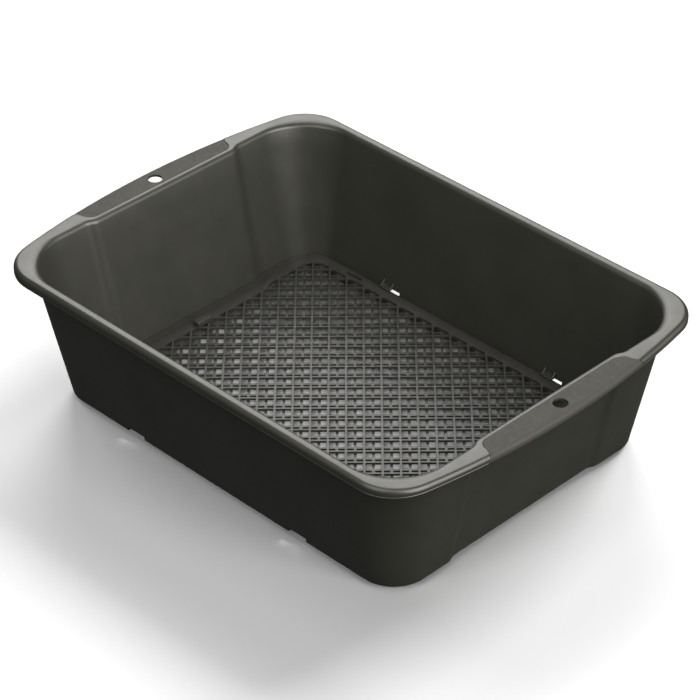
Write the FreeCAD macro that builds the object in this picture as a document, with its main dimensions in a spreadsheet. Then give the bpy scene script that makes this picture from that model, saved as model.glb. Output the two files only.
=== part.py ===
# A sifting litter tray: an open tub with a rolled rim, a fixed sieve floor and a sliding sieve
# on top of it. Origin: centre of the base, on the floor. X runs along the tray, Z is up.
import FreeCAD, Part
import Sketcher
import math
import os
from FreeCAD import Vector

doc = FreeCAD.newDocument("sifting_tray")
sheet = doc.addObject("Spreadsheet::Sheet", "sizes")

SIZES = [
    # the tub, with heights above the underside of its walls
    ("tray_length", 459.2), ("tray_width", 333.8), ("tray_height", 117.8),
    ("rim_end_radius", 710.0), ("rim_corner_radius", 38.0), ("rim_depth", 7.0),
    ("rim_thickness", 2.4), ("lip_thickness", 2.2), ("rim_round", 3.8), ("wall_round", 3.6),
    ("foot_length", 372.0), ("foot_width", 276.4), ("foot_corner", 30.0), ("foot_step", 3.0),
    ("wall_top_length", 419.4), ("wall_top_width", 320.8), ("wall_top_corner", 51.0),
    ("wall_top_step", 3.4), ("step_start", 71.5), ("step_end", 83.5),
    ("floor_length", 361.2), ("floor_width", 269.8), ("floor_corner", 27.0), ("floor_step", 3.4),
    ("floor_step_start", 65.5), ("floor_step_end", 83.5),
    ("mouth_length", 413.4), ("mouth_width", 314.4), ("mouth_corner", 46.0), ("mouth_step", 3.4),
    ("ledge_thickness", 2.4), ("ledge_reach", 11.5),
    # the low feet under its corners
    ("stand_height", 4.0), ("stand_length", 26.0), ("stand_width", 7.0), ("stand_corner", 3.0),
    ("stand_x", 130.0), ("stand_y", 130.0),
    # the hand holds at both ends
    ("hole_x", 216.8), ("hole_diameter", 11.8), ("pad_depth", 0.7), ("pad_inner_x", 208.0),
    ("pad_outer_x", 224.6), ("pad_inner_y", 77.0), ("pad_outer_y", 80.5), ("pad_corner", 9.0),
    # the hooks that hold the sliding sieve down, and the slots under them
    ("hook_x", 89.0), ("slot_shift", 3.0), ("slot_width", 19.6), ("slot_inner_y", 135.0),
    ("slot_outer_y", 141.0), ("slot_top_inside", 8.4), ("slot_top_outside", 2.6),
    ("hook_width", 12.0), ("hook_reach", 5.6), ("hook_thickness", 1.3), ("hook_clearance", 0.4),
    ("fin_height", 3.6), ("fin_setback", 2.2), ("fin_crown", 0.7), ("fin_thickness", 1.3),
    ("fin_pitch", 10.0),
    # both sieves
    ("grid_pitch", 13.9), ("sieve_gap", 0.3), ("grid_across", -1.2), ("grid_along", -5.55),
    ("smallest_hole", 3.0),
    ("fixed_thickness", 3.3), ("fixed_bar", 2.2), ("opening_length", 332.0),
    ("opening_width", 245.8), ("opening_corner", 14.0),
    ("slider_thickness", 1.8), ("slider_bar", 1.7), ("slider_rest_x", 4.9),
    ("slider_length", 350.4), ("slider_width", 263.4), ("slider_corner", 20.0),
    ("slider_step", 3.6), ("slider_step_start", 63.5), ("slider_step_end", 81.5),
    ("window_length", 336.6), ("window_width", 245.8), ("window_corner", 14.0),
    ("window_step", 4.7), ("window_step_start", 59.0), ("window_step_end", 78.0),
    # details of the sliding sieve
    ("lug_length", 15.3), ("lug_width", 6.6), ("lug_height", 4.3), ("lug_y", 5.7),
    ("lug_leg", 2.6), ("lug_leg_inset", 1.9), ("lug_x", 165.0),
    ("detent_x", 125.8), ("detent_length", 17.0), ("detent_slot", 3.4), ("detent_width", 2.5),
    ("detent_recess", 0.6), ("nub_x", 130.2), ("nub_length", 4.6), ("nub_reach", 1.6),
    ("mark_height", 0.4), ("mark_line", 1.1), ("mark_y", 127.4),
    ("coarse_mark_x", -47.0), ("fine_mark_x", 40.0),
]
for row, (alias, number) in enumerate(SIZES, start=1):
    sheet.set(f"A{row}", alias)
    sheet.set(f"B{row}", f"{number:g}")
    sheet.setAlias(f"B{row}", alias)
doc.recompute()


def size(alias):
    return float(sheet.get(alias))


# ---- outlines -------------------------------------------------------------------------------

def curve(points):
    """Two points give a line, three points give an arc through the middle one."""
    places = [Vector(*point, 0) for point in points]
    return Part.LineSegment(*places) if len(places) == 2 else Part.Arc(*places)


def stepped_outline(length, width, corner, step, step_start, step_end):
    """A rounded rectangle whose two ends are set in by a shallow step between soft S-curves."""
    half_x, half_y = length / 2, width / 2
    run = step_end - step_start
    bend = (step ** 2 + run ** 2) / (4 * step)
    half_turn = math.asin(run / 2 / bend) / 2
    side, rise = bend * (1 - math.cos(half_turn)), bend * math.sin(half_turn)
    diagonal = corner * (1 - math.sqrt(0.5))
    quarter = [
        [(half_x - step, step_start), (half_x - step + side, step_start + rise),
         (half_x - step / 2, step_start + run / 2)],
        [(half_x - step / 2, step_start + run / 2), (half_x - side, step_end - rise),
         (half_x, step_end)],
        [(half_x, step_end), (half_x, half_y - corner)],
        [(half_x, half_y - corner), (half_x - diagonal, half_y - diagonal),
         (half_x - corner, half_y)],
    ]
    return around(quarter)


def plain_outline(length, width, corner):
    """A rounded rectangle."""
    half_x, half_y = length / 2, width / 2
    diagonal = corner * (1 - math.sqrt(0.5))
    return around([[(half_x, half_y - corner), (half_x - diagonal, half_y - diagonal),
                    (half_x - corner, half_y)]])


def rim_outline(inset):
    """Straight long sides, ends that bow outwards, and round corners, set in by a distance."""
    half_x, half_y = size("tray_length") / 2 - inset, size("tray_width") / 2 - inset
    corner, end = size("rim_corner_radius") - inset, size("rim_end_radius") - inset
    centre_y = half_y - corner
    centre_x = math.sqrt((end - corner) ** 2 - centre_y ** 2) - (end - half_x)
    start = math.atan2(centre_y, centre_x + end - half_x)
    angles = (start, (start + math.pi / 2) / 2, math.pi / 2)
    quarter = [[(centre_x + corner * math.cos(a), centre_y + corner * math.sin(a)) for a in angles]]
    outline = around(quarter)
    bowed = []
    for points in outline:
        upright = len(points) == 2 and abs(points[0][0] - points[1][0]) < 1e-6
        if upright:
            middle = (math.copysign(half_x, points[0][0]), 0.0)
            points = [points[0], middle, points[1]]
        bowed.append(points)
    return bowed


def around(quarter):
    """Carry a quarter outline, drawn from the +X end to the +Y side, round all four corners."""
    loops = []
    for sign_x, sign_y in ((1, 1), (-1, 1), (-1, -1), (1, -1)):
        part = [[(sign_x * x, sign_y * y) for x, y in points] for points in quarter]
        if sign_x * sign_y < 0:
            part = [points[::-1] for points in part[::-1]]
        loops.append(part)
    outline = []
    for part, following in zip(loops, loops[1:] + loops[:1]):
        outline += part
        outline.append([part[-1][-1], following[0][0]])
    return outline


def shifted(outline, along, across=0.0):
    return [[(x + along, y + across) for x, y in points] for points in outline]


def wire(outline):
    return Part.Wire([curve(points).toShape() for points in outline])


# ---- feature helpers ------------------------------------------------------------------------

def new_body(label):
    body = doc.addObject("PartDesign::Body", label)
    body.Label = label
    return body


def new_sketch(body, name, role, outlines, offset=None):
    sketch = body.newObject("Sketcher::SketchObject", name)
    plane = [item for item in body.Origin.OriginFeatures if item.Role == role][0]
    sketch.AttachmentSupport = [(plane, "")]
    sketch.MapMode = "FlatFace"
    if offset:
        sketch.setExpression("AttachmentOffset.Base.z", offset)
    for outline in outlines:
        for points in outline:
            sketch.addGeometry(curve(points), False)
    return sketch


def add_circle(sketch, x_expression, diameter_alias, sign=1.0):
    """A circle on the X axis of a sketch, held by expressions."""
    centre = Vector(sign * size("hole_x"), 0, 0)
    ring = sketch.addGeometry(Part.Circle(centre, Vector(0, 0, 1), size(diameter_alias) / 2), False)
    diameter = sketch.addConstraint(Sketcher.Constraint("Diameter", ring, size(diameter_alias)))
    sketch.setExpression(f"Constraints[{diameter}]", f"sizes.{diameter_alias}")
    across = sketch.addConstraint(
        Sketcher.Constraint("DistanceX", -1, 1, ring, 3, sign * size("hole_x")))
    sketch.setExpression(f"Constraints[{across}]", x_expression)
    sketch.addConstraint(Sketcher.Constraint("PointOnObject", ring, 3, -1))


def pad(body, name, sketch, length):
    feature = body.newObject("PartDesign::Pad", name)
    feature.Profile = sketch
    feature.setExpression("Length", length)
    doc.recompute()
    return feature


def pocket(body, name, sketch, length, upward=True):
    before = body.Shape.Volume
    feature = body.newObject("PartDesign::Pocket", name)
    feature.Profile = sketch
    feature.setExpression("Length", length)
    feature.Reversed = upward
    doc.recompute()
    if body.Shape.Volume > before - 1e-6:
        raise RuntimeError(f"{name} removes nothing")
    return feature


def loft(body, kind, name, lower, upper):
    feature = body.newObject(kind, name)
    feature.Profile = lower
    feature.Sections = [upper]
    feature.Ruled = True
    doc.recompute()
    return feature


def round_edges(body, name, radius, wanted):
    feature = body.newObject("PartDesign::Fillet", name)
    base = feature.BaseFeature
    edges = [f"Edge{i}" for i, edge in enumerate(base.Shape.Edges, start=1) if wanted(edge)]
    feature.Base = (base, edges)
    feature.setExpression("Radius", radius)
    doc.recompute()
    return feature


# ---- the tub --------------------------------------------------------------------------------

def pad_outline(grow=0.0):
    """One hand hold's inlay at the +X end: a long strip with round inner corners."""
    inner_x, outer_x = size("pad_inner_x") - grow, size("pad_outer_x")
    inner_y, outer_y = size("pad_inner_y") + grow, size("pad_outer_y") + grow
    corner = size("pad_corner")
    drop = corner * (1 - math.sqrt(0.5))
    half_bow = size("rim_end_radius") - size("tray_length") / 2 + outer_x
    edge_x = outer_x - half_bow + math.sqrt(half_bow ** 2 - outer_y ** 2)
    return [
        [(edge_x, -outer_y), (outer_x, 0.0), (edge_x, outer_y)],
        [(edge_x, outer_y), (inner_x + corner, inner_y)],
        [(inner_x + corner, inner_y), (inner_x + drop, inner_y - drop), (inner_x, inner_y - corner)],
        [(inner_x, inner_y - corner), (inner_x, corner - inner_y)],
        [(inner_x, corner - inner_y), (inner_x + drop, drop - inner_y), (inner_x + corner, -inner_y)],
        [(inner_x + corner, -inner_y), (edge_x, -outer_y)],
    ]


def turned(outline):
    return [[(-x, -y) for x, y in points] for points in outline]


def wall_inner_y(height):
    """The inner face of a long wall at a height above the floor."""
    low, high = size("floor_width") / 2, size("mouth_width") / 2
    share = (height - size("ledge_thickness")) / (size("tray_height") - size("ledge_thickness"))
    return low + (high - low) * share


def floor_outline(inset=0.0):
    """The foot of the inner wall, or an outline set in from it."""
    return stepped_outline(size("floor_length") - 2 * inset, size("floor_width") - 2 * inset,
                           size("floor_corner") - inset, size("floor_step"),
                           size("floor_step_start"), size("floor_step_end"))


def build_tray():
    body = new_body("tray_shell")
    foot = stepped_outline(size("foot_length"), size("foot_width"), size("foot_corner"),
                           size("foot_step"), size("step_start"), size("step_end"))
    wall_top = stepped_outline(size("wall_top_length"), size("wall_top_width"),
                               size("wall_top_corner"), size("wall_top_step"),
                               size("step_start"), size("step_end"))
    floor = floor_outline()
    mouth = stepped_outline(size("mouth_length"), size("mouth_width"), size("mouth_corner"),
                            size("mouth_step"), size("step_start"), size("step_end"))
    foot_sketch = new_sketch(body, "foot_outline", "XY_Plane", [foot])
    underside = "sizes.tray_height - sizes.rim_thickness"
    top_sketch = new_sketch(body, "wall_top_outline", "XY_Plane", [wall_top], underside)
    loft(body, "PartDesign::AdditiveLoft", "outer_wall", foot_sketch, top_sketch)
    rim_low = "sizes.tray_height - sizes.rim_depth"
    rim = new_sketch(body, "rim_outline", "XY_Plane", [rim_outline(0.0)], rim_low)
    pad(body, "rim", rim, "sizes.rim_depth")
    hollow = new_sketch(body, "under_rim_outline", "XY_Plane",
                        [rim_outline(size("lip_thickness")), wall_top], rim_low)
    pocket(body, "under_rim", hollow, "sizes.rim_depth - sizes.rim_thickness")
    floor_sketch = new_sketch(body, "floor_outline", "XY_Plane", [floor], "sizes.ledge_thickness")
    mouth_sketch = new_sketch(body, "mouth_outline", "XY_Plane", [mouth], "sizes.tray_height")
    loft(body, "PartDesign::SubtractiveLoft", "inside", floor_sketch, mouth_sketch)
    opening_sketch = new_sketch(body, "ledge_opening", "XY_Plane",
                                [floor_outline(size("ledge_reach"))])
    pocket(body, "floor_opening", opening_sketch, "sizes.ledge_thickness")
    cut_slots(body, "near_slots", -1)
    cut_slots(body, "far_slots", 1)
    stands = [shifted(plain_outline(size("stand_length"), size("stand_width"),
                                    size("stand_corner")),
                      sign_x * size("stand_x"), sign_y * size("stand_y"))
              for sign_x in (-1, 1) for sign_y in (-1, 1)]
    stand_sketch = new_sketch(body, "stand_outlines", "XY_Plane", stands, "-sizes.stand_height")
    pad(body, "stands", stand_sketch, "sizes.stand_height")
    holes = new_sketch(body, "hand_holes", "XY_Plane", [], underside)
    add_circle(holes, "sizes.hole_x", "hole_diameter")
    add_circle(holes, "-sizes.hole_x", "hole_diameter", -1.0)
    pocket(body, "hand_hole_cut", holes, "sizes.rim_thickness")
    recess = new_sketch(body, "pad_recesses", "XY_Plane", [pad_outline(), turned(pad_outline())],
                        "sizes.tray_height")
    pocket(body, "pad_recess", recess, "sizes.pad_depth", upward=False)
    height, tiny = size("tray_height"), 0.01

    def on_top(edge):
        box = edge.BoundBox
        return box.ZMin > height - tiny

    def outer_top(edge):
        point = edge.valueAt((edge.FirstParameter + edge.LastParameter) / 2)
        near = rim_face.distToShape(Part.Vertex(point.x, point.y, 0.0))[0] < tiny
        return on_top(edge) and near

    def inner_top(edge):
        point = edge.valueAt((edge.FirstParameter + edge.LastParameter) / 2)
        near = mouth_face.distToShape(Part.Vertex(point.x, point.y, 0.0))[0] < tiny
        return on_top(edge) and near

    rim_face, mouth_face = wire(rim_outline(0.0)), wire(mouth)
    round_edges(body, "rim_rounding", "sizes.rim_round", outer_top)
    round_edges(body, "mouth_rounding", "sizes.wall_round", inner_top)
    return body


def cut_slots(body, name, sign_y):
    """Two slots through the foot of a long wall, under its hooks, with sloping tops."""
    below = -size("ledge_thickness")
    corners = [(size("slot_inner_y"), below), (size("slot_outer_y"), below),
               (size("slot_outer_y"), size("slot_top_outside")),
               (size("slot_inner_y"), size("slot_top_inside"))]
    for place, sign_x in (("left", -1), ("right", 1)):
        start = f"{sign_x} * sizes.hook_x + {sign_y} * sizes.slot_shift - sizes.slot_width / 2"
        sketch = new_sketch(body, f"{name}_{place}_section", "YZ_Plane",
                            [closed(corners, sign_y)], start)
        pocket(body, f"{name}_{place}", sketch, "sizes.slot_width")


def build_pad(label, outline):
    body = new_body(label)
    sketch = new_sketch(body, label + "_outline", "XY_Plane", [outline],
                        "sizes.tray_height - sizes.pad_depth")
    sign = 1.0 if outline[0][1][0] > 0 else -1.0
    side = "sizes.hole_x" if sign > 0 else "-sizes.hole_x"
    add_circle(sketch, side, "hole_diameter", sign)
    pad(body, label + "_sheet", sketch, "sizes.pad_depth")
    return body


# ---- the sieves -----------------------------------------------------------------------------

def grid_holes(window, across, along, bar):
    """Square holes between bars that run at 45 degrees, cut off where they leave the window."""
    pitch = size("grid_pitch")
    face = Part.Face(wire(window))
    box = face.BoundBox
    reach = int((box.XLength + box.YLength) / pitch) + 2
    holes = []
    for i in range(-reach, reach):
        for j in range(-reach, reach):
            u, w = across + i * pitch, along + j * pitch
            lows, highs = (u + bar / 2, w + bar / 2), (u + pitch - bar / 2, w + pitch - bar / 2)
            turns = [(lows[0], lows[1]), (highs[0], lows[1]), (highs[0], highs[1]),
                     (lows[0], highs[1])]
            points = [Vector((a + b) / math.sqrt(2), (a - b) / math.sqrt(2), 0) for a, b in turns]
            centre = (points[0] + points[2]) / 2
            if abs(centre.x - box.Center.x) > box.XLength / 2 + pitch:
                continue
            if abs(centre.y) > box.YLength / 2 + pitch:
                continue
            square = Part.Face(Part.makePolygon(points + points[:1]))
            inside = [part for part in square.common(face).Faces
                      if part.Area > size("smallest_hole")]
            holes += [part.OuterWire for part in inside]
    return holes


def build_sieve(label, outline, holes, low, thickness, notches=()):
    """A flat plate with every hole of its grid, raised from its outline."""
    sheet_face = doc.addObject("Part::Feature", label + "_face")
    wires = [wire(outline)] + holes
    plan = Part.makeFace(wires, "Part::FaceMakerBullseye")
    for notch in notches:
        plan = plan.cut(Part.Face(wire(notch)))
    sheet_face.Shape = plan
    plate = doc.addObject("Part::Extrusion", label)
    plate.Label = label
    plate.Base = sheet_face
    plate.DirMode = "Custom"
    plate.Dir = Vector(0, 0, 1)
    plate.setExpression("LengthFwd", thickness)
    plate.Solid = True
    plate.setExpression("Placement.Base.z", low)
    doc.recompute()
    return plate


def rectangle(x_low, x_high, y_low, y_high):
    corners = [(x_low, y_low), (x_high, y_low), (x_high, y_high), (x_low, y_high)]
    return [[corners[i], corners[(i + 1) % 4]] for i in range(4)]


SLIDER_LOW = "sizes.ledge_thickness + sizes.fixed_thickness + sizes.sieve_gap"
SLIDER_TOP = SLIDER_LOW + " + sizes.slider_thickness"


def slider_low():
    return size("ledge_thickness") + size("fixed_thickness") + size("sieve_gap")


def slider_top():
    return slider_low() + size("slider_thickness")


def build_fixed_sieve():
    window = plain_outline(size("opening_length"), size("opening_width"), size("opening_corner"))
    half = size("grid_pitch") / 2
    holes = grid_holes(window, size("grid_across") + half, size("grid_along") + half,
                       size("fixed_bar"))
    return build_sieve("fixed_sieve", floor_outline(), holes, "sizes.ledge_thickness",
                       "sizes.fixed_thickness")


def beside_tongue(sign, low, high):
    """A strip beside a springy tongue in one long side of the sliding sieve."""
    centre = size("slider_rest_x") - sign * size("detent_x")
    return rectangle(centre - size("detent_length") / 2, centre + size("detent_length") / 2,
                     min(sign * low, sign * high), max(sign * low, sign * high))


def detent_slot(sign):
    """The slot that frees the tongue."""
    high = size("slider_width") / 2 - size("detent_width")
    return beside_tongue(sign, high - size("detent_slot"), high)


def detent_recess(sign):
    """The shallow recess that sets the tongue back from the edge."""
    edge = size("slider_width") / 2
    return beside_tongue(sign, edge - size("detent_recess"), edge + size("detent_recess"))


def build_sliding_sieve():
    rest = size("slider_rest_x")
    outline = shifted(stepped_outline(
        size("slider_length"), size("slider_width"), size("slider_corner"), size("slider_step"),
        size("slider_step_start"), size("slider_step_end")), rest)
    window = shifted(stepped_outline(
        size("window_length"), size("window_width"), size("window_corner"), size("window_step"),
        size("window_step_start"), size("window_step_end")), rest)
    holes = grid_holes(window, size("grid_across"), size("grid_along"), size("slider_bar"))
    holes += [wire(detent_slot(sign)) for sign in (1, -1)]
    notches = [detent_recess(sign) for sign in (1, -1)] + lug_legs(1) + lug_legs(-1)
    return build_sieve("sliding_sieve", outline, holes, SLIDER_LOW, "sizes.slider_thickness",
                       notches)


def lug_inner_x(sign):
    return size("slider_rest_x") + sign * (size("lug_x") - size("lug_width") / 2)


def lug_legs(sign):
    """The outlines of a lug's two legs, which pass through the sliding sieve."""
    inner_x, middle_y = lug_inner_x(sign), sign * size("lug_y")
    near_x = inner_x + sign * size("lug_leg_inset")
    half, leg = size("lug_length") / 2, size("lug_leg")
    return [rectangle(min(inner_x, near_x), max(inner_x, near_x), low, low + leg)
            for low in (middle_y - half, middle_y + half - leg)]


def build_lug(label, sign):
    """A finger lug: a raised bar on the end of the sliding sieve, with two legs at its inner side."""
    body = new_body(label)
    inner_x = lug_inner_x(sign)
    outer_x = inner_x + sign * size("lug_width")
    middle_y, half = sign * size("lug_y"), size("lug_length") / 2
    bar = rectangle(min(inner_x, outer_x), max(inner_x, outer_x), middle_y - half, middle_y + half)
    sketch = new_sketch(body, label + "_bar", "XY_Plane", [bar], SLIDER_TOP)
    pad(body, label + "_grip", sketch, "sizes.lug_height")
    leg_sketch = new_sketch(body, label + "_legs", "XY_Plane", lug_legs(sign), SLIDER_LOW)
    pad(body, label + "_feet", leg_sketch, "sizes.slider_thickness")
    return body


def build_nub(label, sign):
    """The low round bump on a springy tongue that clicks against the wall of the tub."""
    body = new_body(label)
    centre_x = size("slider_rest_x") - sign * size("nub_x")
    edge_y = sign * (size("slider_width") / 2 - size("detent_recess"))
    half = size("nub_length") / 2
    crown = (centre_x, edge_y + sign * size("nub_reach"))
    bump = [[(centre_x - half, edge_y), (centre_x + half, edge_y)],
            [(centre_x + half, edge_y), crown, (centre_x - half, edge_y)]]
    sketch = new_sketch(body, label + "_outline", "XY_Plane", [bump], SLIDER_LOW)
    pad(body, label + "_bump", sketch, "sizes.slider_thickness")
    return body


def build_hook(label, sign_x, sign_y):
    """A shelf that reaches over the edge of the sliding sieve, stiffened by two upright fins."""
    body = new_body(label)
    low = slider_top() + size("hook_clearance")
    high = low + size("hook_thickness")
    tip = wall_inner_y(low) - size("hook_reach")
    shelf = [(tip, low), (wall_inner_y(low), low), (wall_inner_y(high), high), (tip, high)]
    crown = high + size("fin_height")
    fin = [(tip + size("fin_setback"), high), (wall_inner_y(high), high),
           (wall_inner_y(crown), crown), (wall_inner_y(crown) - size("fin_crown"), crown)]
    start = f"{sign_x} * sizes.hook_x - sizes.hook_width / 2"
    section = new_sketch(body, label + "_shelf_section", "YZ_Plane", [closed(shelf, sign_y)], start)
    pad(body, label + "_shelf", section, "sizes.hook_width")
    for name, side in (("left", -1), ("right", 1)):
        place = f"{sign_x} * sizes.hook_x + {side} * sizes.fin_pitch / 2 - sizes.fin_thickness / 2"
        section = new_sketch(body, f"{label}_{name}_fin_section", "YZ_Plane",
                             [closed(fin, sign_y)], place)
        pad(body, f"{label}_{name}_fin", section, "sizes.fin_thickness")
    return body


def closed(points, sign_y):
    """A closed outline through the points, mirrored to one long side of the tub."""
    placed = [(sign_y * y, z) for y, z in points]
    return [[placed[i], placed[(i + 1) % len(placed)]] for i in range(len(placed))]


# ---- the marks on the far rail --------------------------------------------------------------

def arrow_outline(tip_x, sign):
    """A long flat arrow that points along X."""
    line, y = size("mark_line"), size("mark_y")
    head, tail, wing = 4.0 * line, 11.0 * line, 2.0 * line
    points = [(tip_x, y), (tip_x - sign * head, y + wing), (tip_x - sign * head, y + line / 2),
              (tip_x - sign * tail, y + line / 2), (tip_x - sign * tail, y - line / 2),
              (tip_x - sign * head, y - line / 2), (tip_x - sign * head, y - wing)]
    return [[points[i], points[(i + 1) % len(points)]] for i in range(len(points))]


def diamond(x, half):
    y = size("mark_y")
    points = [(x + half, y), (x, y + half), (x - half, y), (x, y - half)]
    return [[points[i], points[(i + 1) % 4]] for i in range(4)]


def build_mark(label, outlines):
    body = new_body(label)
    sketch = new_sketch(body, label + "_outline", "XY_Plane", outlines, SLIDER_TOP)
    pad(body, label + "_relief", sketch, "sizes.mark_height")
    return body


def build_marks():
    """An open diamond for the coarse position and small diamonds for the fine one."""
    coarse, fine = size("coarse_mark_x"), size("fine_mark_x")
    line = size("mark_line")
    build_mark("mark_coarse", [arrow_outline(coarse - 13.0, -1), diamond(coarse + 9.0, 3.2 * line),
                               diamond(coarse + 9.0, 1.9 * line)])
    small = [diamond(fine - 12.0 + 3.6 * line * i, 1.4 * line) for i in range(3)]
    build_mark("mark_fine", [arrow_outline(fine + 23.0, 1)] + small)


# ---- the whole tray -------------------------------------------------------------------------

nodes = [build_tray(), build_fixed_sieve(), build_sliding_sieve(),
         build_pad("grip_right", pad_outline()), build_pad("grip_left", turned(pad_outline())),
         build_lug("slide_lug_right", 1), build_lug("slide_lug_left", -1),
         build_nub("detent_nub_far", 1), build_nub("detent_nub_near", -1)]
for end, sign_x in (("left", -1), ("right", 1)):
    for side, sign_y in (("near", -1), ("far", 1)):
        nodes.append(build_hook(f"sieve_hook_{side}_{end}", sign_x, sign_y))
build_marks()
nodes += [doc.getObject("mark_coarse"), doc.getObject("mark_fine")]
doc.recompute()

for item in doc.Objects:
    if "Invalid" in item.State or "Error" in item.State:
        raise RuntimeError(f"{item.Label} is {item.State}")
os.makedirs("parts", exist_ok=True)
for node in nodes:
    shape = node.Shape.translated(Vector(0, 0, size("stand_height")))
    if shape.isNull() or not shape.isValid():
        raise RuntimeError(f"{node.Label} has no valid shape")
    print(f"{node.Label}: {len(shape.Solids)} solid(s), {shape.Volume / 1000:.1f} cm3")
    shape.exportStep(f"parts/{node.Label}.step")
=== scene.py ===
# Looks of the sifting litter tray: a dark satin tub, two sieves in its floor, and its studio.
import math

import bpy
import bmesh
from mathutils import Matrix, Vector


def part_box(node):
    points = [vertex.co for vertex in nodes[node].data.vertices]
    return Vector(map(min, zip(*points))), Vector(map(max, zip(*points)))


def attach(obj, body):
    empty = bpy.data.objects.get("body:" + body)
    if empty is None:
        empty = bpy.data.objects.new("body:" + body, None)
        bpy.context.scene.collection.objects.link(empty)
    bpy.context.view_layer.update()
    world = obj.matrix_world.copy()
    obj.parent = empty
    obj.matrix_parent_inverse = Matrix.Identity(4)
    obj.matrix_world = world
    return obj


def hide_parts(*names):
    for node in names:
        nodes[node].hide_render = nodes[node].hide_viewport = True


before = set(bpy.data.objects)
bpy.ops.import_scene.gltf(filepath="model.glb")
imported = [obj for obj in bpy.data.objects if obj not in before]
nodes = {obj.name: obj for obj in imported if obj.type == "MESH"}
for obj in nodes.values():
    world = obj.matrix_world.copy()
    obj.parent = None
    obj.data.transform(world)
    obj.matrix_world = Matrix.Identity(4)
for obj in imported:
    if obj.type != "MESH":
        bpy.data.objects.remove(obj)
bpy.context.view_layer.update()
MM = 0.001

# ---- sizes, in millimetres ------------------------------------------------------------------

tub_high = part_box("tray_shell")[1]
RIM_X = tub_high.x / MM
RIM_Y = tub_high.y / MM
TOP = tub_high.z / MM
RIM_CORNER, RIM_END = 38.0, 710.0
RIM_ROUND, MOUTH_ROUND, FOOT_ROUND = 3.8, 3.6, 0.9
LIP_DEPTH_END, LIP_DEPTH_SIDE = 6.2, 8.0
LIP_THICK, TOP_THICK, LEDGE_THICK = 2.2, 2.4, 2.4
# inset from the rim's outer edge and height above the lip's lower edge, down and under the lip
BEAD = ((0.0, 1.9), (0.25, 1.6), (0.25, 1.3), (0.0, 1.0), (0.0, 0.5), (0.15, 0.15), (0.45, 0.0),
        (LIP_THICK - 0.4, 0.0), (LIP_THICK, 0.4))
STAND, STAND_X, STAND_Y = 4.0, 130.0, 130.0
STAND_STRAIGHT, STAND_RADIUS, STAND_ROOT = 19.0, 3.5, 0.5
LEDGE = STAND + LEDGE_THICK
HIGH_STEP, LOW_STEP = (71.5, 83.5), (65.5, 83.5)
# half length, half width, corner radius, depth of the step in the ends, its ends, height
FOOT = (186.0, 138.2, 30.0, 3.0, HIGH_STEP, STAND)
WALL_TOP = (209.7, 160.4, 51.0, 3.4, HIGH_STEP, TOP - TOP_THICK)
FLOOR = (180.6, 134.9, 27.0, 3.4, LOW_STEP, LEDGE)
MOUTH = (206.7, 157.2, 49.0, 3.4, HIGH_STEP, TOP)
FLAT = (210.3, 160.8, 41.0, 3.4, HIGH_STEP, TOP)
OPENING = (169.1, 123.4, 15.5, 3.4, LOW_STEP, LEDGE)
HOLE_X, HOLE_RADIUS = 216.8, 5.9
HOLE_BELOW, HOLE_ABOVE = 10.0, 5.0
# the inlays: inner edge, half width, corner, how far the ends flare, depth of their recess, how far
# they lie below the rim, the drop past the rolled edge, and the gap round them
PAD_X, PAD_Y, PAD_CORNER, PAD_FLARE = 208.0, 77.0, 9.0, 6.0
PAD_DEPTH, PAD_SINK, PAD_DROP, PAD_GAP = 0.6, 0.3, 1.4, 0.05
RECESS_OVER = 2.0
HOOK_X, SLOT_SHIFT, SLOT_WIDTH = 89.0, 3.0, 19.6
# the hook slots' section: distance from the middle and height above the wall's foot
SLOT_SECTION = ((135.0, -2.4), (141.0, -2.4), (141.0, 2.6), (135.0, 8.4))
SIEVE_EDGE, SLIDER_EDGE, HOOK_EDGE, MARK_EDGE = 0.28, 0.22, 0.16, 0.08

# ---- mesh fineness --------------------------------------------------------------------------

# stations along the recessed end, the two bends of its step, the end, the corner and the side
END_STATIONS, BEND_IN, BEND_OUT = 18, 7, 8
SHORT_STATIONS, CORNER_STATIONS, SIDE_STATIONS = 5, 28, 24
WALL_ROWS = 8
ROUND_WEIGHT, MOUTH_WEIGHT = 0.707, 0.77
RIM_STEPS, MOUTH_STEPS, FOOT_STEPS = 8, 6, 4
FLAT_SHARES = (0.25, 0.5, 0.75, 1.0)
PAD_SHARES = (0.0, 0.02, 0.06, 0.12, 0.2, 0.3, 0.42, 0.55, 0.7, 0.85, 1.0)
PAD_STEPS, PAD_COLUMNS = 14, 30
HOLE_STATIONS, STAND_STATIONS = 64, 12
SMOOTH_ANGLE, COPY_SMOOTH_ANGLE = 32, 35
# joining distance in metres, angles in degrees
JOIN_DISTANCE, FLAT_ANGLE, SHARP_ANGLE = 0.5e-5, 1.0, 30
BEVEL_SEGMENTS, BEVEL_PROFILE = 2, 0.6
NARROW = 1e-6


# ---- outlines -------------------------------------------------------------------------------

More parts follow.
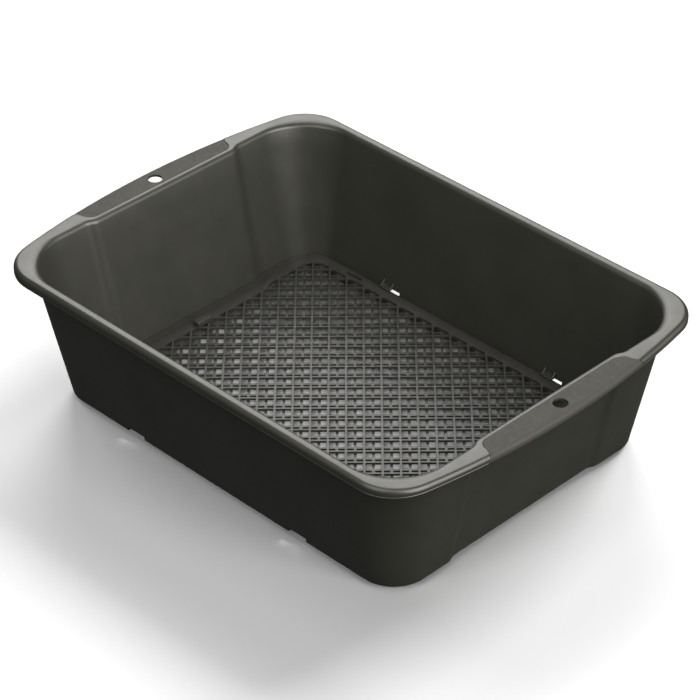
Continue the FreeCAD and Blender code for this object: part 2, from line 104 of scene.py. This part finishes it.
def quarter(spec):
    """Points and outward normals of a stepped outline, from the +X end round to the +Y side."""
    half_x, half_y, corner, step, (step_start, step_end), _ = spec
    run = step_end - step_start
    bend = (step ** 2 + run ** 2) / (4 * step)
    turn = math.asin(run / 2 / bend)
    rows = []

    def put(x, y, angle):
        rows.append((x, y, math.cos(angle), math.sin(angle)))

    for i in range(END_STATIONS):
        put(half_x - step, step_start * i / END_STATIONS, 0.0)
    for i in range(BEND_IN):
        a = turn * i / BEND_IN
        put(half_x - step + bend * (1 - math.cos(a)), step_start + bend * math.sin(a), -a)
    for i in range(BEND_OUT):
        a = turn * (1 - i / BEND_OUT)
        put(half_x - bend * (1 - math.cos(a)), step_end - bend * math.sin(a), -a)
    straight = half_y - corner - step_end
    for i in range(SHORT_STATIONS):
        put(half_x, step_end + straight * i / SHORT_STATIONS, 0.0)
    for i in range(CORNER_STATIONS):
        a = math.pi / 2 * i / CORNER_STATIONS
        put(half_x - corner * (1 - math.cos(a)), half_y - corner * (1 - math.sin(a)), a)
    for i in range(SIDE_STATIONS + 1):
        put((half_x - corner) * (1 - i / SIDE_STATIONS), half_y, math.pi / 2)
    return rows


def rim_quarter():
    """The rim's outer edge, station by station opposite the mouth of the tub."""
    centre_x, centre_y = MOUTH[0] - MOUTH[2], MOUTH[1] - MOUTH[2]
    end_x = RIM_X - RIM_END
    corner_y = RIM_Y - RIM_CORNER
    corner_x = end_x + math.sqrt((RIM_END - RIM_CORNER) ** 2 - corner_y ** 2)
    tangent = math.atan2(corner_y, corner_x - end_x)
    last_y = corner_y + RIM_CORNER * math.sin(tangent)

    def on_circle(x, y, dx, dy, cx, cy, radius):
        px, py = x - cx, y - cy
        half_b = px * dx + py * dy
        reach = -half_b + math.sqrt(half_b ** 2 - (px * px + py * py - radius ** 2))
        qx, qy = x + dx * reach, y + dy * reach
        return qx, qy, (qx - cx) / radius, (qy - cy) / radius

    rows = []
    for x, y, _, _ in quarter(MOUTH):
        if y <= centre_y:
            rows.append(on_circle(0.0, y, 1.0, 0.0, end_x, 0.0, RIM_END))
            continue
        if x <= centre_x + NARROW:
            rows.append((x, RIM_Y, 0.0, 1.0))
            continue
        away = math.hypot(x - centre_x, y - centre_y)
        dx, dy = (x - centre_x) / away, (y - centre_y) / away
        place = on_circle(centre_x, centre_y, dx, dy, end_x, 0.0, RIM_END)
        if place[1] > last_y:
            place = on_circle(centre_x, centre_y, dx, dy, corner_x, corner_y, RIM_CORNER)
        if place[0] < corner_x:
            place = (centre_x + dx / dy * (RIM_Y - centre_y), RIM_Y, 0.0, 1.0)
        rows.append(place)
    return rows


def whole(rows):
    """Mirror a quarter outline into all four quarters, in one closed loop."""
    second = [(-x, y, -nx, ny) for x, y, nx, ny in rows[-2::-1]]
    half = rows + second
    rest = [(x, -y, nx, -ny) for x, y, nx, ny in half[-2:0:-1]]
    return half + rest


def at(row, inset, height):
    """The point a given distance inside an outline's station, at a height."""
    x, y, nx, ny = row
    return Vector((x - nx * inset, y - ny * inset, height)) * MM


def arc(start, control, end, weight, steps):
    """Points after the start of a round corner that touches both lines at its ends."""
    points = []
    for i in range(1, steps + 1):
        t = i / steps
        a, b, c = (1 - t) ** 2, 2 * t * (1 - t) * weight, t * t
        points.append((start * a + control * b + end * c) / (a + b + c))
    return points


def rounded(starts, controls, ends, weight, steps):
    """Rows of points that carry a round corner all the way along an outline."""
    arcs = [arc(*points, weight, steps) for points in zip(starts, controls, ends)]
    return [list(row) for row in zip(*arcs)]


# ---- mesh helpers ---------------------------------------------------------------------------

def new_piece(name, points, faces, material):
    """A mesh object with its faces turned outward and its smooth parts shaded smooth."""
    mesh = bpy.data.meshes.new(name)
    mesh.from_pydata([tuple(point) for point in points], [], faces)
    mesh.update()
    piece = bpy.data.objects.new(name, mesh)
    bpy.context.scene.collection.objects.link(piece)
    if material:
        mesh.materials.append(material)
    bm = bmesh.new()
    bm.from_mesh(mesh)
    bmesh.ops.recalc_face_normals(bm, faces=bm.faces)
    bm.to_mesh(mesh)
    bm.free()
    shade(mesh, SMOOTH_ANGLE)
    return piece


def shade(mesh, angle):
    mesh.shade_smooth()
    mesh.set_sharp_from_angle(angle=math.radians(angle))


def subtract(piece, cutters):
    """Cut the cutters out of a piece for good."""
    for cutter in cutters:
        tool = piece.modifiers.new("cut", "BOOLEAN")
        tool.operation = "DIFFERENCE"
        tool.solver = "EXACT"
        tool.object = cutter
    graph = bpy.context.evaluated_depsgraph_get()
    mesh = bpy.data.meshes.new_from_object(piece.evaluated_get(graph))
    old = piece.data
    name = old.name
    piece.modifiers.clear()
    piece.data = mesh
    bpy.data.meshes.remove(old)
    mesh.name = name
    for cutter in cutters:
        bpy.data.objects.remove(cutter)
    shade(mesh, SMOOTH_ANGLE)


def refined(node, width, material):
    """A copy of a CAD node with its flat faces joined up and its edges softened."""
    source = nodes[node].data
    bm = bmesh.new()
    bm.from_mesh(source)
    bmesh.ops.remove_doubles(bm, verts=bm.verts, dist=JOIN_DISTANCE)
    bmesh.ops.dissolve_limit(bm, angle_limit=math.radians(FLAT_ANGLE), verts=bm.verts,
                             edges=bm.edges)
    mesh = bpy.data.meshes.new(node + "_soft")
    sharp_angle = math.radians(SHARP_ANGLE)
    sharp = [edge for edge in bm.edges
             if len(edge.link_faces) == 2 and edge.calc_face_angle() > sharp_angle]
    bmesh.ops.bevel(bm, geom=sharp, offset=width * MM, offset_type="OFFSET",
                    segments=BEVEL_SEGMENTS, profile=BEVEL_PROFILE, affect="EDGES",
                    clamp_overlap=True)
    bm.to_mesh(mesh)
    bm.free()
    piece = bpy.data.objects.new(node + "_piece", mesh)
    bpy.context.scene.collection.objects.link(piece)
    mesh.materials.clear()
    mesh.materials.append(material)
    shade(mesh, COPY_SMOOTH_ANGLE)
    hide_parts(node)
    return piece


# ---- materials ------------------------------------------------------------------------------

# the part of a noise that is stretched over a range
NOISE_LOW, NOISE_HIGH = 0.3, 0.7
# scale, detail and roughness of each noise
MOTTLE, GLOSS = (22.0, 4.0, 0.55), (60.0, 5.0, 0.6)
WAVES, GRAIN = (14.0, 1.0, 0.55), (2600.0, 2.0, 0.5)
GRIP_MOTTLE, GRIP_GLOSS, GRIP_GRAIN = (900.0, 3.0, 0.7), (300.0, 4.0, 0.55), (2200.0, 3.0, 0.55)
PAPER_MOTTLE = (3.0, 2.0, 0.55)
PEBBLE_SCALE = 1500.0
# depths in millimetres
WAVE_DEPTH, PEBBLE_DEPTH, GRIP_GRAIN_DEPTH = 0.10, 0.12, 0.06
WAVE_STRENGTH, GRAIN_STRENGTH = 0.5, 0.6
PLASTIC_IOR, GRIP_SPECULAR, PAPER_ROUGHNESS = 1.5, 0.35, 0.9


class Nodes:
    """A small helper that lays out one material's nodes."""

    def __init__(self, name):
        self.material = bpy.data.materials.new(name)
        self.material.use_nodes = True
        self.tree = self.material.node_tree
        self.shader = self.tree.nodes["Principled BSDF"]
        self.place = self.add("ShaderNodeTexCoord").outputs["Object"]

    def add(self, kind):
        return self.tree.nodes.new(kind)

    def link(self, source, target):
        self.tree.links.new(source, target)

    def noise(self, scale, detail, roughness):
        noise = self.add("ShaderNodeTexNoise")
        noise.inputs["Scale"].default_value = scale
        noise.inputs["Detail"].default_value = detail
        noise.inputs["Roughness"].default_value = roughness
        self.link(self.place, noise.inputs["Vector"])
        return noise.outputs["Fac"]

    def voronoi(self, scale):
        cells = self.add("ShaderNodeTexVoronoi")
        cells.inputs["Scale"].default_value = scale
        self.link(self.place, cells.inputs["Vector"])
        return cells.outputs["Distance"]

    def spread(self, value, low, high):
        """Stretch a noise value over a range."""
        ranged = self.add("ShaderNodeMapRange")
        ranged.inputs["From Min"].default_value = NOISE_LOW
        ranged.inputs["From Max"].default_value = NOISE_HIGH
        ranged.inputs["To Min"].default_value = low
        ranged.inputs["To Max"].default_value = high
        self.link(value, ranged.inputs["Value"])
        return ranged.outputs["Result"]

    def colour(self, value, dark, light):
        ramp = self.add("ShaderNodeValToRGB")
        ramp.color_ramp.elements[0].position = NOISE_LOW
        ramp.color_ramp.elements[1].position = NOISE_HIGH
        ramp.color_ramp.elements[0].color = (*dark, 1.0)
        ramp.color_ramp.elements[1].color = (*light, 1.0)
        self.link(value, ramp.inputs["Fac"])
        self.link(ramp.outputs["Color"], self.shader.inputs["Base Color"])

    def bump(self, value, depth, strength, below=None):
        bump = self.add("ShaderNodeBump")
        bump.inputs["Distance"].default_value = depth * MM
        bump.inputs["Strength"].default_value = strength
        self.link(value, bump.inputs["Height"])
        if below:
            self.link(below, bump.inputs["Normal"])
        return bump.outputs["Normal"]


def moulded_plastic(name, dark, light, rough_low, rough_high, grain_depth, specular=0.5):
    """Dark injection-moulded plastic: a faint mottle, uneven gloss and a fine eroded grain."""
    made = Nodes(name)
    made.colour(made.noise(*MOTTLE), dark, light)
    made.link(made.spread(made.noise(*GLOSS), rough_low, rough_high),
              made.shader.inputs["Roughness"])
    waves = made.bump(made.noise(*WAVES), WAVE_DEPTH, WAVE_STRENGTH)
    grain = made.bump(made.noise(*GRAIN), grain_depth, GRAIN_STRENGTH, waves)
    made.link(grain, made.shader.inputs["Normal"])
    made.shader.inputs["IOR"].default_value = PLASTIC_IOR
    made.shader.inputs["Specular IOR Level"].default_value = specular
    return made.material


def grained_grip(name):
    """Matt hand-hold inlay with a pebbled grain."""
    made = Nodes(name)
    made.colour(made.noise(*GRIP_MOTTLE), (0.0220, 0.0208, 0.0170), (0.0320, 0.0300, 0.0248))
    made.link(made.spread(made.noise(*GRIP_GLOSS), 0.60, 0.74), made.shader.inputs["Roughness"])
    made.shader.inputs["Specular IOR Level"].default_value = GRIP_SPECULAR
    pebbles = made.bump(made.voronoi(PEBBLE_SCALE), PEBBLE_DEPTH, GRAIN_STRENGTH)
    grain = made.bump(made.noise(*GRIP_GRAIN), GRIP_GRAIN_DEPTH, GRAIN_STRENGTH, pebbles)
    made.link(grain, made.shader.inputs["Normal"])
    return made.material


def studio_floor():
    """White paper, a shade short of full white and without gloss."""
    made = Nodes("floor_paper")
    made.colour(made.noise(*PAPER_MOTTLE), (0.93, 0.93, 0.93), (0.95, 0.95, 0.95))
    made.shader.inputs["Roughness"].default_value = PAPER_ROUGHNESS
    made.shader.inputs["Specular IOR Level"].default_value = 0.0
    return made.material


TUB = moulded_plastic("tub_plastic", (0.0190, 0.0190, 0.0152), (0.0235, 0.0233, 0.0190),
                      0.34, 0.40, 0.030)
FIXED = moulded_plastic("fixed_sieve_plastic", (0.0200, 0.0195, 0.0170), (0.0250, 0.0242, 0.0215),
                        0.36, 0.44, 0.030, 0.40)
SLIDER = moulded_plastic("slider_plastic", (0.0220, 0.0214, 0.0188), (0.0270, 0.0263, 0.0230),
                         0.36, 0.44, 0.030, 0.40)
MARK = moulded_plastic("mark_plastic", (0.0230, 0.0222, 0.0196), (0.0275, 0.0266, 0.0236),
                       0.40, 0.48, 0.020)
GRIP = grained_grip("grip_inlay")


# ---- the tub --------------------------------------------------------------------------------

def blend_rows(low, high, share):
    """A row of points part of the way up between two outlines."""
    height = low[-1] + (high[-1] - low[-1]) * share
    rows = []
    for a, b in zip(whole(quarter(low)), whole(quarter(high))):
        x, y = a[0] + (b[0] - a[0]) * share, a[1] + (b[1] - a[1]) * share
        rows.append((x, y, b[2], b[3]))
    return rows, height


def lip_low(row):
    """Height of the lip's lower edge, which hangs lower along the sides than at the ends."""
    return TOP - LIP_DEPTH_END - (LIP_DEPTH_SIDE - LIP_DEPTH_END) * row[3] ** 2


def tub_rows():
    """Rows of points over the tub's whole skin, from the floor opening up, over and back down."""
    rim = whole(rim_quarter())
    mouth = whole(quarter(MOUTH))
    opening = whole(quarter(OPENING))
    rows = [[at(row, 0, STAND) for row in opening], [at(row, 0, LEDGE) for row in opening]]
    inner_top = (TOP - MOUTH_ROUND - LEDGE) / (TOP - LEDGE)
    for i in range(WALL_ROWS + 1):
        outline, height = blend_rows(FLOOR, MOUTH, inner_top * i / WALL_ROWS)
        rows.append([at(row, 0, height) for row in outline])
    corner = [at(row, 0, TOP) for row in mouth]
    inner_flat = [at(row, 0, TOP) for row in whole(quarter(FLAT))]
    outer_flat = [at(row, RIM_ROUND, TOP) for row in rim]
    edge_high = [at(row, 0, TOP) for row in rim]
    edge_low = [at(row, 0, TOP - RIM_ROUND) for row in rim]
    rows += rounded(rows[-1], corner, inner_flat, MOUTH_WEIGHT, MOUTH_STEPS)
    for share in FLAT_SHARES:
        rows.append([a.lerp(b, share) for a, b in zip(inner_flat, outer_flat)])
    rows += rounded(outer_flat, edge_high, edge_low, ROUND_WEIGHT, RIM_STEPS)
    for inset, above in BEAD:
        rows.append([at(row, inset, lip_low(row) + above) for row in rim])
    rows.append([at(row, LIP_THICK, TOP - TOP_THICK) for row in rim])
    outer_bottom = 1 - FOOT_ROUND / (WALL_TOP[-1] - STAND)
    for i in range(WALL_ROWS + 1):
        outline, height = blend_rows(WALL_TOP, FOOT, (i / WALL_ROWS) * outer_bottom)
        rows.append([at(row, 0, height) for row in outline])
    foot = whole(quarter(FOOT))
    corner = [at(row, 0, STAND) for row in foot]
    under = [at(row, FOOT_ROUND, STAND) for row in foot]
    rows += rounded(rows[-1], corner, under, ROUND_WEIGHT, FOOT_STEPS)
    return rows


def ring_faces(row_count, station_count):
    """Faces of a closed skin: every row is a loop, and the last row joins the first."""
    faces = []
    for i in range(row_count):
        for j in range(station_count):
            k, m = (i + 1) % row_count, (j + 1) % station_count
            faces.append((i * station_count + j, i * station_count + m,
                          k * station_count + m, k * station_count + j))
    return faces


def prism(name, outline, low, high, axis="z"):
    """A closed prism through an outline, along Z or along X."""
    count = len(outline)
    if axis == "z":
        points = [(x, y, z) for z in (low, high) for x, y in outline]
    else:
        points = [(x, y, z) for x in (low, high) for y, z in outline]
    sides = [(i, (i + 1) % count, (i + 1) % count + count, i + count) for i in range(count)]
    caps = [tuple(range(count)), tuple(range(2 * count - 1, count - 1, -1))]
    return new_piece(name, [Vector(point) * MM for point in points], sides + caps, None)


def rim_surface(along, y, height):
    """A point at a height above the skin of the rim's end, going over its rolled edge."""
    edge = RIM_X - RIM_END + math.sqrt(RIM_END ** 2 - y * y)
    flat_end = edge - RIM_ROUND
    if along <= flat_end:
        return Vector((along, y, TOP + height))
    angle = (along - flat_end) / RIM_ROUND
    if angle <= math.pi / 2:
        reach = RIM_ROUND + height
        return Vector((flat_end + reach * math.sin(angle), y,
                       TOP - RIM_ROUND + reach * math.cos(angle)))
    below = along - flat_end - RIM_ROUND * math.pi / 2
    return Vector((edge + height, y, TOP - RIM_ROUND - below))


def pad_layer(height, grow, end_drop):
    """A grid over one hand hold: round inner corners, flared ends, and over the rolled edge."""
    start = PAD_X - grow
    corner = PAD_CORNER + grow
    columns = [math.sin(math.pi / 2 * (i / PAD_COLUMNS))
               for i in range(-PAD_COLUMNS, PAD_COLUMNS + 1)]
    grid = []
    for share in PAD_SHARES:
        offset = corner * share
        inside = corner - offset
        half = PAD_Y + grow - corner + math.sqrt(max(corner ** 2 - inside ** 2, 0.0))
        grid.append([rim_surface(start + offset, half * column, height) for column in columns])
    last = start + corner
    finish = RIM_ROUND * math.pi / 2 + end_drop
    for i in range(1, PAD_STEPS + 1):
        half = PAD_Y + grow + PAD_FLARE * i / PAD_STEPS
        line = []
        for column in columns:
            y = half * column
            edge = RIM_X - RIM_END + math.sqrt(RIM_END ** 2 - y * y)
            target = edge - RIM_ROUND + finish
            line.append(rim_surface(last + (target - last) * i / PAD_STEPS, y, height))
        grid.append(line)
    return grid


def layered(name, low, high, material, turn):
    """A closed sheet between two grids of the same size."""
    rows, columns = len(low), len(low[0])
    points = [point for grid in (low, high) for line in grid for point in line]
    count = rows * columns
    faces = []
    for i in range(rows - 1):
        for j in range(columns - 1):
            a, b = i * columns + j, i * columns + j + 1
            c, d = b + columns, a + columns
            faces += [(a, b, c, d), (a + count, d + count, c + count, b + count)]
    border = list(range(columns))
    border += [i * columns + columns - 1 for i in range(1, rows)]
    border += [(rows - 1) * columns + j for j in range(columns - 2, -1, -1)]
    border += [i * columns for i in range(rows - 2, 0, -1)]
    for i, a in enumerate(border):
        b = border[(i + 1) % len(border)]
        faces.append((a, a + count, b + count, b))
    sign = -1.0 if turn else 1.0
    placed = [Vector((sign * point.x, sign * point.y, point.z)) * MM for point in points]
    return new_piece(name, placed, faces, material)


def hole_cutter(turn):
    """A round bar through the hand hold at one end."""
    x = -HOLE_X if turn else HOLE_X
    angles = [2 * math.pi * i / HOLE_STATIONS for i in range(HOLE_STATIONS)]
    outline = [(x + HOLE_RADIUS * math.cos(a), HOLE_RADIUS * math.sin(a)) for a in angles]
    return prism("hole_cutter", outline, TOP - HOLE_BELOW, TOP + HOLE_ABOVE)


def add_stands(tub):
    """Four low feet under the corners of the floor's ledge."""
    bm = bmesh.new()
    bm.from_mesh(tub.data)
    for sign_x in (-1, 1):
        for sign_y in (-1, 1):
            outline = []
            for side in (1, -1):
                centre = sign_x * STAND_X + side * STAND_STRAIGHT / 2
                for i in range(STAND_STATIONS + 1):
                    a = math.pi * i / STAND_STATIONS - math.pi / 2 * side
                    outline.append((centre + STAND_RADIUS * math.cos(a),
                                    sign_y * STAND_Y + STAND_RADIUS * math.sin(a)))
            foot = prism("foot", outline, 0.0, STAND + STAND_ROOT)
            bm.from_mesh(foot.data)
            bpy.data.objects.remove(foot)
    bm.to_mesh(tub.data)
    bm.free()
    shade(tub.data, SMOOTH_ANGLE)


def build_tub():
    rows = tub_rows()
    points = [point for row in rows for point in row]
    tub = new_piece("tub", points, ring_faces(len(rows), len(rows[0])), TUB)
    cutters = []
    for turn in (False, True):
        low = pad_layer(-PAD_DEPTH, 0.0, PAD_DROP)
        high = pad_layer(RECESS_OVER, PAD_DEPTH + RECESS_OVER, PAD_DROP + PAD_DEPTH)
        cutters.append(layered("recess_cutter", low, high, None, turn))
        cutters.append(hole_cutter(turn))
    for sign_x in (-1, 1):
        for sign_y in (-1, 1):
            start = sign_x * HOOK_X + sign_y * SLOT_SHIFT - SLOT_WIDTH / 2
            section = [(sign_y * y, STAND + z) for y, z in SLOT_SECTION]
            cutters.append(prism("slot_cutter", section, start, start + SLOT_WIDTH, "x"))
    subtract(tub, cutters)
    add_stands(tub)
    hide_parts("tray_shell")
    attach(tub, "tray")
    for name, turn in (("grip_right", False), ("grip_left", True)):
        low = pad_layer(-PAD_DEPTH, -PAD_GAP, PAD_DROP - PAD_GAP)
        high = pad_layer(-PAD_SINK, -PAD_GAP, PAD_DROP - PAD_GAP)
        grip = layered(name + "_sheet", low, high, GRIP, turn)
        subtract(grip, [hole_cutter(turn)])
        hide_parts(name)
        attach(grip, "tray")


# ---- sieves and small pieces ----------------------------------------------------------------

def build_sieves():
    fixed = refined("fixed_sieve", SIEVE_EDGE, FIXED)
    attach(fixed, "tray")
    slider = refined("sliding_sieve", SLIDER_EDGE, SLIDER)
    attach(slider, "slider")


def build_small_pieces():
    for name in sorted(nodes):
        if name.startswith("sieve_hook"):
            piece, slot, body = refined(name, HOOK_EDGE, TUB), "tub_plastic", "tray"
        elif name.startswith(("slide_lug", "detent_nub")):
            piece, slot, body = refined(name, SLIDER_EDGE, SLIDER), "slider_plastic", "slider"
        elif name.startswith("mark"):
            piece, slot, body = refined(name, MARK_EDGE, MARK), "raised_mark", "slider"
        else:
            continue
        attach(piece, body)


# ---- the studio -----------------------------------------------------------------------------

CAMERA_AZIMUTH, CAMERA_ELEVATION, CAMERA_ROLL = 45.35, 35.17, -0.509
CAMERA_DISTANCE, CAMERA_LENS, CAMERA_SENSOR = 2.3492, 154.92, 36.0
CAMERA_TARGET = Vector((-0.01749, 0.02034, 0.04193))


def direction(azimuth, elevation):
    """Unit vector towards a place seen from the tray; azimuth 0 is on the -Y side."""
    a, e = math.radians(azimuth), math.radians(elevation)
    return Vector((math.sin(a) * math.cos(e), -math.cos(a) * math.cos(e), math.sin(e)))


def build_camera():
    back = direction(CAMERA_AZIMUTH, CAMERA_ELEVATION)
    right = Vector((math.cos(math.radians(CAMERA_AZIMUTH)),
                    math.sin(math.radians(CAMERA_AZIMUTH)), 0.0))
    up = back.cross(right)
    roll = math.radians(CAMERA_ROLL)
    side = right * math.cos(roll) + up * math.sin(roll)
    top = up * math.cos(roll) - right * math.sin(roll)
    data = bpy.data.cameras.new("camera")
    data.sensor_width = CAMERA_SENSOR
    data.lens = CAMERA_LENS
    camera = bpy.data.objects.new("camera", data)
    turn = Matrix((side, top, back)).transposed().to_4x4()
    camera.matrix_world = Matrix.Translation(CAMERA_TARGET + back * CAMERA_DISTANCE) @ turn
    bpy.context.scene.collection.objects.link(camera)
    bpy.context.scene.camera = camera


LAMP_AIM = Vector((0.0, 0.0, 0.06))
TRAY_LAMP_DISTANCE, FLOOR_LAMP_DISTANCE = 2.4, 8.0
WORLD_STRENGTH = 0.055
FLOOR_HALF = 12.0
# Azimuth from the camera, elevation, power and side. Each set lights only the tray or the floor.
TRAY_LAMPS = {"key_right": (45, 35, 140, 2.2), "fill_left": (-45, 35, 20, 1.6),
              "high_left": (-45, 60, 25, 1.6), "low_right": (90, 12, 15, 1.6),
              "rim_back": (180, 42, 45, 1.6), "low_back": (195, 10, 8, 1.6)}
FLOOR_LAMPS = {"floor_back_right": (135, 38, 590, 3.6), "floor_back_left": (225, 38, 160, 3.6),
               "floor_back_mid": (180, 34, 420, 3.6), "floor_front_right": (45, 30, 240, 3.6),
               "floor_front_left": (-45, 30, 200, 3.6)}
TRAY_LAMP_COLOUR = (1.0, 0.988, 0.955)
FLOOR_LAMP_COLOUR = (1.0, 1.0, 1.0)


def lamp(name, turn, elevation, power, side, distance, colour, receivers):
    """A square area lamp that lights only the pieces in one collection."""
    data = bpy.data.lights.new(name, "AREA")
    data.shape = "SQUARE"
    data.size = side
    data.energy = power
    data.color = colour
    piece = bpy.data.objects.new(name, data)
    away = direction(CAMERA_AZIMUTH + turn, elevation)
    piece.location = LAMP_AIM + away * distance
    piece.rotation_mode = "QUATERNION"
    piece.rotation_quaternion = away.to_track_quat("Z", "Y")
    piece.light_linking.receiver_collection = receivers
    bpy.context.scene.collection.objects.link(piece)


def group(name, pieces):
    made = bpy.data.collections.new(name)
    for piece in pieces:
        made.objects.link(piece)
    return made


def build_studio():
    """The floor, the world and the lamps. The tray gets no light or reflection off the floor."""
    tray = [piece for piece in bpy.context.scene.objects if piece.type == "MESH"]
    half = FLOOR_HALF
    floor = new_piece("studio_floor", [Vector((-half, -half, 0)), Vector((half, -half, 0)),
                                       Vector((half, half, 0)), Vector((-half, half, 0))],
                      [(0, 1, 2, 3)], studio_floor())
    floor.visible_glossy = False
    floor.visible_diffuse = False
    world = bpy.data.worlds.new("studio_light")
    world.use_nodes = True
    world.node_tree.nodes["Background"].inputs["Color"].default_value = (1.0, 1.0, 1.0, 1.0)
    world.node_tree.nodes["Background"].inputs["Strength"].default_value = WORLD_STRENGTH
    bpy.context.scene.world = world
    lit_tray = group("lit_tray", tray)
    for name, (turn, elevation, power, side) in TRAY_LAMPS.items():
        lamp(name, turn, elevation, power, side, TRAY_LAMP_DISTANCE, TRAY_LAMP_COLOUR, lit_tray)
    lit_floor = group("lit_floor", [floor])
    for name, (turn, elevation, power, side) in FLOOR_LAMPS.items():
        lamp(name, turn, elevation, power, side, FLOOR_LAMP_DISTANCE, FLOOR_LAMP_COLOUR,
             lit_floor)
    bpy.context.scene.view_settings.view_transform = "Standard"
    bpy.context.scene.view_settings.look = "None"


build_tub()
build_sieves()
build_small_pieces()
build_studio()
build_camera()
